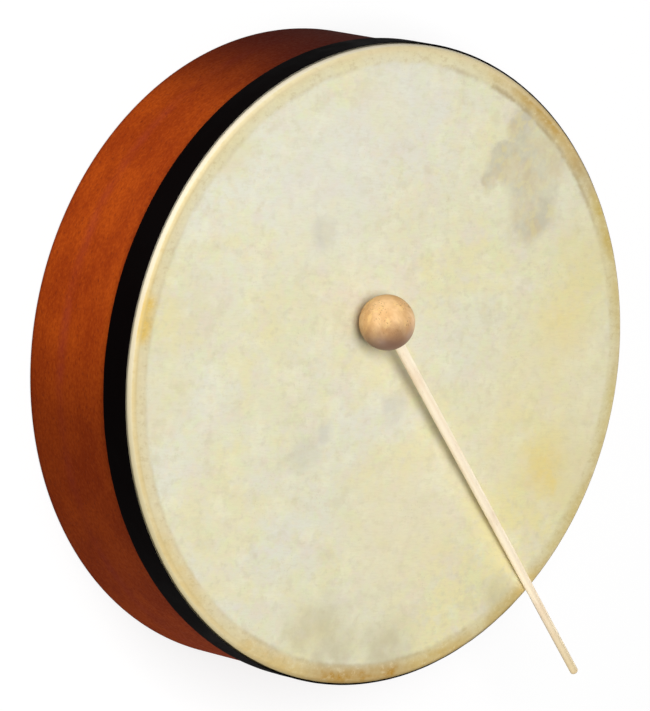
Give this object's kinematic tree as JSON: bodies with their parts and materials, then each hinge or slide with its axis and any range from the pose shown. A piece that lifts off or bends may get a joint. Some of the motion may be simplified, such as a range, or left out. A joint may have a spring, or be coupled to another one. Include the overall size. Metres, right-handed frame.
{
  "type": "bodhran",
  "caption": "Round wooden frame drum with a goatskin head, a black edge band and crossed bars inside, with a ball-headed wooden beater lying across the skin.",
  "frame": {"origin": "on the drum's axis, at the back edge of the rim", "axes": "+Z along the drum's axis, out through the skin; +X along the crossbar whose skin side is notched; the beater's tip points between +X and +Y"},
  "size_m": [0.4064, 0.4064, 0.1369],
  "materials": {
    "rim_wood": "satin red-brown stain",
    "bar_wood": "plain, lightly oiled",
    "goatskin": "dry goatskin",
    "black_tape": "satin",
    "steel": "plain",
    "ball_wood": "fine sanded",
    "pale_wood": "fine sanded"
  },
  "bodies": {
    "drum": {"rim_outer_ply": "rim_wood", "rim_inner_ply": "rim_wood", "drum_skin": "goatskin", "black_band": "black_tape", "crossbar_x": "bar_wood", "crossbar_y": "bar_wood", "bar_cleat_01": "bar_wood", "bar_cleat_02": "bar_wood", "bar_cleat_03": "bar_wood", "bar_cleat_04": "bar_wood", "cleat_screw_01": "steel", "cleat_screw_02": "steel", "cleat_screw_03": "steel", "cleat_screw_04": "steel", "skin_tack_01": "steel", "skin_tack_02": "steel", "skin_tack_03": "steel", "skin_tack_04": "steel", "skin_tack_05": "steel", "skin_tack_06": "steel", "skin_tack_07": "steel", "skin_tack_08": "steel", "skin_tack_09": "steel", "skin_tack_10": "steel", "skin_tack_11": "steel", "skin_tack_12": "steel", "skin_tack_13": "steel", "skin_tack_14": "steel", "skin_tack_15": "steel", "skin_tack_16": "steel", "skin_tack_17": "steel", "skin_tack_18": "steel", "skin_tack_19": "steel", "skin_tack_20": "steel", "skin_tack_21": "steel", "skin_tack_22": "steel", "skin_tack_23": "steel", "skin_tack_24": "steel"},
    "beater": {"beater_ball": "ball_wood", "beater_stick": "pale_wood"}
  },
  "joints": [
    {"name": "beater_lift", "type": "slide", "parent": "drum", "child": "beater", "axis": [0, 0, 1], "range_m": [0, 0.15]}
  ]
}
